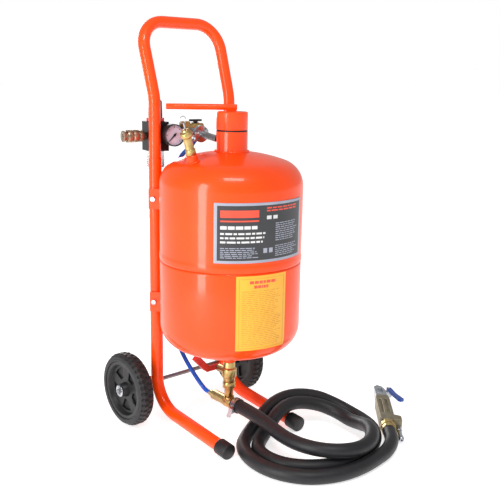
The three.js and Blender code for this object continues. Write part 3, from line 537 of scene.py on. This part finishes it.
def makeHandle():
    x, y = frameTube["halfSpan"], frameTube["backY"]
    seat = frameTube["top"] + 0.3
    top = (handle["topHalf"], handle["topY"], handle["topZ"])
    line = filletLine([((-x, y, seat), 0), ((-x, y, handle["kinkZ"]), handle["kinkBend"]),
                       ((-top[0], top[1], top[2]), handle["cornerBend"]), (top, handle["cornerBend"]),
                       ((x, y, handle["kinkZ"]), handle["kinkBend"]), ((x, y, seat), 0)], 16)
    radius = handle["radius"] * mm
    tube = tubeMesh("handleLoop", line, radius, radius - handle["wall"] * mm, 32)
    finishPiece("handleLoop", tube, powderCoat, "frame", ["handle_loop"])
    outer, bore, foot = handle["spigotRadius"], handle["spigotBore"], handle["spigotFoot"]
    profile = [(bore, foot), (outer, foot), (outer, seat + 2), (bore, seat + 2), (bore, foot)]
    for name, side in (("Left", -1), ("Right", 1)):
        place = Matrix.Translation((side * x * mm, y * mm, 0))
        spigot = turnedMesh(f"spigot{name}", profile, place, 32)
        finishPiece(f"handleSpigot{name}", spigot, powderCoat, "frame")


for name, side in (("Left", -1), ("Right", 1)):
    makeRail(name, side)
makeHandle()
print("frame tubes made")

# ---------- tank
tank = {"y": -40, "radius": 138, "wall": 3, "bottom": 229, "top": 501, "knuckle": 50, "crown": 325,
        "seam": 358,
        "mouth": 30.3, "outlet": 6.5}
knuckleCentre = tank["radius"] - tank["knuckle"]
crownHalf = math.asin(knuckleCentre / (tank["crown"] - tank["knuckle"]))
crownDrop = (tank["crown"] - tank["knuckle"]) * math.cos(crownHalf)
tankPlace = Matrix.Translation((0, tank["y"] * mm, 0))


def dishedEnd(opening, inset):
    crown, knuckle = tank["crown"] - inset, tank["knuckle"] - inset
    first = math.asin(opening / crown)
    points = [(crown * math.sin(a), crown * math.cos(a) - crownDrop)
              for a in np.linspace(first, crownHalf, 9)[:-1]]
    points += [(knuckleCentre + knuckle * math.sin(a), knuckle * math.cos(a))
               for a in np.linspace(crownHalf, math.pi / 2, 18)]
    return points


def makeTank():
    radius, wall, seam = tank["radius"], tank["wall"], tank["seam"]
    inner = radius - wall
    outside = [(r, tank["top"] + z) for r, z in dishedEnd(tank["mouth"], 0)]
    inside = [(r, tank["top"] + z) for r, z in dishedEnd(tank["mouth"], wall)][::-1]
    bead = [(radius, seam + 17), (radius + 0.2, seam + 14), (radius + 0.8, seam + 11.5),
            (radius + 1, seam + 9),
            (radius + 1, seam + 3), (radius + 0.7, seam + 1), (radius + 0.1, seam), (inner, seam)]
    finishPiece("tankUpperShell", turnedMesh("tankUpperShell", outside + bead + inside + outside[:1],
                                             tankPlace, 128),
                powderCoat, "frame", ["tank_upper_shell"])
    lap = inner - 0.3
    outside = [(r, tank["bottom"] - z) for r, z in dishedEnd(tank["outlet"], 0)]
    inside = [(r, tank["bottom"] - z) for r, z in dishedEnd(tank["outlet"], wall)][::-1]
    joggle = [(radius, seam - 5), (radius - 0.4, seam - 3), (lap, seam - 0.3), (lap, seam + 20),
              (lap - wall, seam + 20),
              (lap - wall, seam - 2), (inner, seam - 6)]
    finishPiece("tankLowerShell", turnedMesh("tankLowerShell", outside + joggle + inside + outside[:1],
                                             tankPlace, 128),
                powderCoat, "frame", ["tank_lower_shell"])
    bungTop = tank["bottom"] - (tank["crown"] - crownDrop) + 0.8
    bung = [(6.5, 142), (13, 142), (14, 143), (14, bungTop), (6.5, bungTop), (6.5, 142)]
    finishPiece("outletBung", turnedMesh("outletBung", bung, tankPlace, 48), powderCoat, "frame")
    weldBead("outletWeld", tankPlace @ Matrix.Translation((0, 0, (bungTop - 1.4) * mm)), 14.4, 1.8)
    weldBead("neckWeld", tankPlace @ Matrix.Translation((0, 0, 564.6 * mm)), 31.2, 2.4)


def safetyPlace():
    reachX, reachY = -98, -7
    height = tank["top"] + math.sqrt(tank["crown"] ** 2 - reachX**2 - reachY**2) - crownDrop
    normal = Vector((reachX, reachY, height - tank["top"] + crownDrop)).normalized()
    return aimed((reachX * mm, (tank["y"] + reachY) * mm, height * mm), normal)


makeTank()
boss = [(6.3, -2), (10.5, -2), (10.5, 13), (9.6, 14), (6.3, 14), (6.3, -2)]
finishPiece("safetyBoss", turnedMesh("safetyBoss", boss, safetyPlace(), 40), powderCoat, "frame")
weldBead("safetyWeld", safetyPlace() @ Matrix.Translation((0, 0, 0.8 * mm)), 11.2, 1.9)
print("tank made")


# ---------- printed films: plain bars stand for the rows of print
def filmPanel(name, nodes, bottom, top, bearing, halfAngle, materials, bars):
    # bars are (left, low, right, high, material index) as shares of the panel
    edges = [sorted({0.0, 1.0, *[round(b[k], 4) for b in bars], *[round(b[k + 2], 4) for b in bars]})
             for k in (0, 1)]
    columns = sorted(set(edges[0]) | {i / 24 for i in range(25)})
    rows = sorted(set(edges[1]) | {i / 8 for i in range(9)})
    points, faces, marks = [], [], []
    for layer, lift in enumerate((0.35, 1.05)):
        for v in rows:
            z = bottom + (top - bottom) * v
            below = max(0.0, tank["bottom"] - z)
            wall = tank["radius"] - tank["knuckle"] + math.sqrt(tank["knuckle"] ** 2 - below**2)
            for u in columns:
                angle = math.radians(bearing - halfAngle + 2 * halfAngle * u - 90)
                r = wall + lift
                points.append((r * math.cos(angle) * mm, (tank["y"] + r * math.sin(angle)) * mm, z * mm))
    wide, high = len(columns), len(rows)
    total = wide * high
    for j in range(high - 1):
        for i in range(wide - 1):
            a, b = j * wide + i, (j + 1) * wide + i
            u, v = (columns[i] + columns[i + 1]) / 2, (rows[j] + rows[j + 1]) / 2
            index = 0
            for left, low, right, upper, mark in bars:
                if left < u < right and low < v < upper:
                    index = mark
            faces.append((total + a, total + a + 1, total + b + 1, total + b))
            marks.append(index)
            faces.append((a, b, b + 1, a + 1))
            marks.append(0)
    rim = [*range(wide), *[j * wide + wide - 1 for j in range(1, high)],
           *[(high - 1) * wide + i for i in range(wide - 2, -1, -1)],
           *[j * wide for j in range(high - 2, 0, -1)]]
    for k, start in enumerate(rim):
        end = rim[(k + 1) % len(rim)]
        faces.append((start, end, total + end, total + start))
        marks.append(0)
    mesh = bpy.data.meshes.new(name)
    mesh.from_pydata(points, [], faces)
    for material in materials:
        mesh.materials.append(material)
    mesh.polygons.foreach_set("material_index", marks)
    mesh.update()
    return finishPiece(name, mesh, None, "frame", nodes, 50)


def textRows(left, right, low, high, count, mark, seed, share=0.55):
    # rows of short bars of uneven length, one row for each line of print
    picker = random.Random(seed)
    pitch = (high - low) / count
    made = []
    for i in range(count):
        base = high - (i + 1) * pitch + pitch * (1 - share) / 2
        x = left
        stop = right - picker.random() * (right - left) * 0.22
        while x < stop:
            end = min(stop, x + (right - left) * (0.06 + 0.12 * picker.random()))
            made.append((x, base, end, base + pitch * share, mark))
            x = end + (right - left) * 0.025
    return made


def makeFilms():
    plateBars = [(0, 0, 1, 1, 1), (0.03, 0.045, 0.97, 0.955, 0)]
    plateBars += [(0.06, 0.76, 0.42, 0.88, 3), (0.06, 0.69, 0.42, 0.715, 3)]
    plateBars += textRows(0.50, 0.92, 0.84, 0.93, 2, 3, 3, 0.5)
    plateBars += textRows(0.06, 0.46, 0.56, 0.63, 1, 2, 5, 0.8)
    plateBars += textRows(0.06, 0.52, 0.32, 0.53, 3, 2, 7, 0.45)
    plateBars += textRows(0.06, 0.42, 0.08, 0.27, 6, 4, 9, 0.4)
    plateBars += textRows(0.60, 0.92, 0.34, 0.66, 9, 4, 11, 0.4)
    plateBars += textRows(0.60, 0.92, 0.08, 0.28, 6, 4, 13, 0.4)
    plateBars += [(0.47, 0.16, 0.51, 0.24, 4), (0.53, 0.16, 0.57, 0.24, 4), (0.50, 0.72, 0.55, 0.78, 2),
                  (0.57, 0.72, 0.62, 0.78, 2)]
    filmPanel("dataPlate", ["data_plate"], 378, 487, -13, 40,
              [filmGrey, filmSilver, filmWhite, filmOrange, filmSilver], plateBars)
    noticeBars = [(0.05, 0.03, 0.95, 0.965, 1), (0.062, 0.036, 0.938, 0.959, 0)]
    noticeBars += textRows(0.24, 0.78, 0.89, 0.94, 1, 2, 21, 0.8) + textRows(0.32, 0.68, 0.83, 0.88, 1,
        2, 23, 0.8)
    noticeBars += textRows(0.10, 0.90, 0.06, 0.81, 30, 1, 25, 0.36)
    filmPanel("noticeLabel", ["notice_label"], 212, 354, -14.5, 21.5,
              [filmYellow, filmAmber, filmOrange], noticeBars)


makeFilms()
print("films made")

# ---------- wheels
wheel = {"track": 148.5, "y": 104.1, "z": 75, "radius": 75, "width": 33, "rim": 60, "lugs": 38}


def makeWheel(name, side):
    place = Matrix.Translation((side * wheel["track"] * mm, wheel["y"] * mm, wheel["z"] * mm))
    place = place @ Matrix.Rotation(side * math.pi / 2, 4, "Y")
    half, rim, outer = wheel["width"] / 2, wheel["rim"], wheel["radius"]
    profile = [(rim, -half + 1), (rim + 1.5, -half), (rim + 4, -half), (rim + 5, -half + 0.6),
               (outer - 7, -half + 0.6),
               (outer - 4.5, -half + 2), (outer - 2.6, -half + 5), (outer - 1.6, -half + 7),
               (outer - 0.1, -half + 8.4),
               (outer, -half + 12), (outer, -1.4), (outer - 1.4, -1), (outer - 1.4, 1), (outer, 1.4),
               (outer, half - 12),
               (outer - 0.1, half - 8.4), (outer - 1.6, half - 7), (outer - 2.6, half - 5),
               (outer - 4.5, half - 2),
               (outer - 7, half - 0.6), (rim + 5, half - 0.6), (rim + 4, half), (rim + 1.5, half),
               (rim, half - 1),
               (rim, -half + 1)]
    tread = {6, 7, 8, 9, 10, 13, 14, 15, 16, 17}
    count = wheel["lugs"] * 6

    def groove(angle, row):
        if row not in tread:
            return 0.0
        step = int(round(angle / (2 * math.pi) * count)) + (3 if row > 12 else 0)
        return -2.6 if step % 6 < 2 else 0.0

    finishPiece(f"tyre{name}", turnedMesh(f"tyre{name}", profile, place, count, groove), tyreRubber,
                f"wheel_{name.lower()}",
                [f"tyre_{name.lower()}"], 30)
    refined(f"wheel_hub_{name.lower()}", mouldedBlack, 1.0)
    web = [(14, -1), (57, -1), (57, 1), (14, 1), (14, -1)]
    finishPiece(f"hubWeb{name}", turnedMesh(f"hubWeb{name}", web, place, 48), mouldedBlack,
                f"wheel_{name.lower()}")


makeWheel("Left", -1)
makeWheel("Right", 1)
print("wheels made")

# ---------- gauge
train = {"x": -70, "y": 111, "turn": -11}
gauge = {"x": 17, "z": 590, "face": 56, "dialBelow": 4.6, "dialRadius": 19.4, "dialBore": 1.8,
         "tickOuter": 18.2,
         "longTick": (14.2, 0.42), "shortTick": (16, 0.22), "ticks": 31}


def trainPlace(x, y, z):
    turn = Matrix.Rotation(math.radians(train["turn"]), 4, "Z")
    return Matrix.Translation((train["x"] * mm, train["y"] * mm,
                               0)) @ turn @ Matrix.Translation((x * mm, y * mm, z * mm))


def makeGauge():
    facing = trainPlace(gauge["x"], 0, gauge["z"]) @ Matrix.Rotation(math.pi / 2, 4, "X")
    refined("gauge_case", mouldedBlack, 0.5)
    dialZ = gauge["face"] - gauge["dialBelow"]
    bore, rim = gauge["dialBore"], gauge["dialRadius"]
    dial = turnedMesh("gaugeDial", [(bore, dialZ - 0.3), (rim, dialZ - 0.3), (rim, dialZ),
                                    (bore, dialZ), (bore, dialZ - 0.3)],
                      facing, 64)
    finishPiece("gaugeDial", dial, dialWhite, "frame")
    points, faces = [], []
    ticks = gauge["ticks"]
    for i in range(ticks):
        angle = math.radians(225 - 270 * i / (ticks - 1))
        long = i % 5 == 0
        inner, half = gauge["longTick"] if long else gauge["shortTick"]
        along = Vector((math.cos(angle), math.sin(angle), 0))
        across = Vector((-along.y, along.x, 0))
        base = len(points)
        for z in (dialZ, dialZ + 0.15):
            for r, s in ((inner, -half), (gauge["tickOuter"], -half), (gauge["tickOuter"], half),
                         (inner, half)):
                p = along * r + across * s
                points.append(facing @ Vector((p.x * mm, p.y * mm, z * mm)))
        faces += [tuple(base + k for k in q) for q in
                  ((0, 3, 2, 1), (4, 5, 6, 7), (0, 1, 5, 4), (1, 2, 6, 5), (2, 3, 7, 6), (3, 0, 4, 7))]
    finishPiece("gaugeTicks", meshOf("gaugeTicks", points, faces), mouldedBlack, "frame")
    refined("gauge_pointer", mouldedBlack, 0.1)


makeGauge()
print("gauge made")

# ---------- the remaining pieces keep their CAD form
plain = {
    "axle": (galvanised, 0.3), "coupler_body": (warmNickel, 0.3), "coupler_sleeve": (warmNickel, 0.3),
    "inlet_nipple": (galvanised, 0.3), "inlet_union": (brightZinc, 0.5), "inlet_pipe": (galvanised, 0.3),
    "filter_element": (sinteredWhite, 0.3), "filler_cap": (powderCoat, 0.8),
    "filler_neck": (powderCoat, 0.6),
    "gun_body": (dieCast, 2.0), "gun_head": (brightZinc, 0.8), "gun_lever": (blueVinyl, 1.6)}
gunNodes = ["hose_coupling", "gun_body", "gun_nozzle", "gun_head", "gun_lever"]


def dressNode(node, material, bevelMm):
    # the CAD solid itself, its stored mesh untouched, shown through a weld and a bevel
    piece = frame["nodes"][node]
    piece.data.materials.clear()
    piece.data.materials.append(material)
    piece.modifiers.new("weld", "WELD").merge_threshold = 1e-6
    bevelled(piece, bevelMm)


shown = [o.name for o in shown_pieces()]
replaced = set()
for name in shown:
    replaced.update(list(bpy.data.objects[name].get("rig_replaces", [])))
for node in sorted(frame["nodes"]):
    material, bevelMm = plain.get(node, (None, 0.4))
    if node in gunNodes:
        dressNode(node, material or surfaceOfSlot[slotOfNode[node]], bevelMm)
    elif node not in replaced:
        refined(node, material, bevelMm)
print("small pieces made")


# ---------- stage and light
def makeStage():
    floor = meshOf("floor", [(-30, -30, 0), (30, -30, 0), (30, 30, 0), (-30, 30, 0)], [(0, 1, 2, 3)])
    holder = bpy.data.objects.new("floor", floor)
    paper = bpy.data.materials.new("palePaper")
    paper.use_nodes = True
    paper.node_tree.nodes["Principled BSDF"].inputs["Base Color"].default_value = (0.96, 0.96, 0.96, 1)
    paper.node_tree.nodes["Principled BSDF"].inputs["Roughness"].default_value = 0.9
    paper.node_tree.nodes["Principled BSDF"].inputs["Emission Color"].default_value = (1, 1, 1, 1)
    paper.node_tree.nodes["Principled BSDF"].inputs["Emission Strength"].default_value = 0.6
    paper.node_tree.nodes["Principled BSDF"].inputs["Specular IOR Level"].default_value = 0.1
    floor.materials.append(paper)
    bpy.context.scene.collection.objects.link(holder)
    world = bpy.data.worlds.new("studio")
    world.use_nodes = True
    # the backdrop is white to look at and dimmer as a light, so the paint keeps its depth
    seen = addNode(world.node_tree, "ShaderNodeLightPath").outputs["Is Camera Ray"]
    strength = addNode(world.node_tree, "ShaderNodeMapRange", {"To Min": 0.5, "To Max": 1.0},
                       {"Value": seen})
    world.node_tree.nodes["Background"].inputs["Color"].default_value = (1, 1, 1, 1)
    world.node_tree.links.new(strength.outputs["Result"],
                              world.node_tree.nodes["Background"].inputs["Strength"])
    bpy.context.scene.world = world
    lights = {  # place, aim, width, height, power
        "keySoftbox": ((-2.1, -0.25, 0.75), (0, -0.04, 0.36), 0.5, 1.6, 30),
        "overhead": ((-0.75, -1.1, 2.3), (0, -0.1, 0.4), 1.0, 0.45, 20),
        "rimSoftbox": ((0.9, 2.0, 0.7), (0, -0.04, 0.36), 0.6, 1.4, 16)}
    for name, (place, aim, width, height, power) in lights.items():
        data = bpy.data.lights.new(name, "AREA")
        data.shape = "RECTANGLE"
        data.size, data.size_y, data.energy = width, height, power
        lamp = bpy.data.objects.new(name, data)
        lamp.location = place
        lamp.rotation_mode = "QUATERNION"
        lamp.rotation_quaternion = (Vector(aim) - Vector(place)).to_track_quat("-Z", "Y")
        bpy.context.scene.collection.objects.link(lamp)
    bpy.context.scene.view_settings.view_transform = "Standard"


makeStage()
print("stage set")
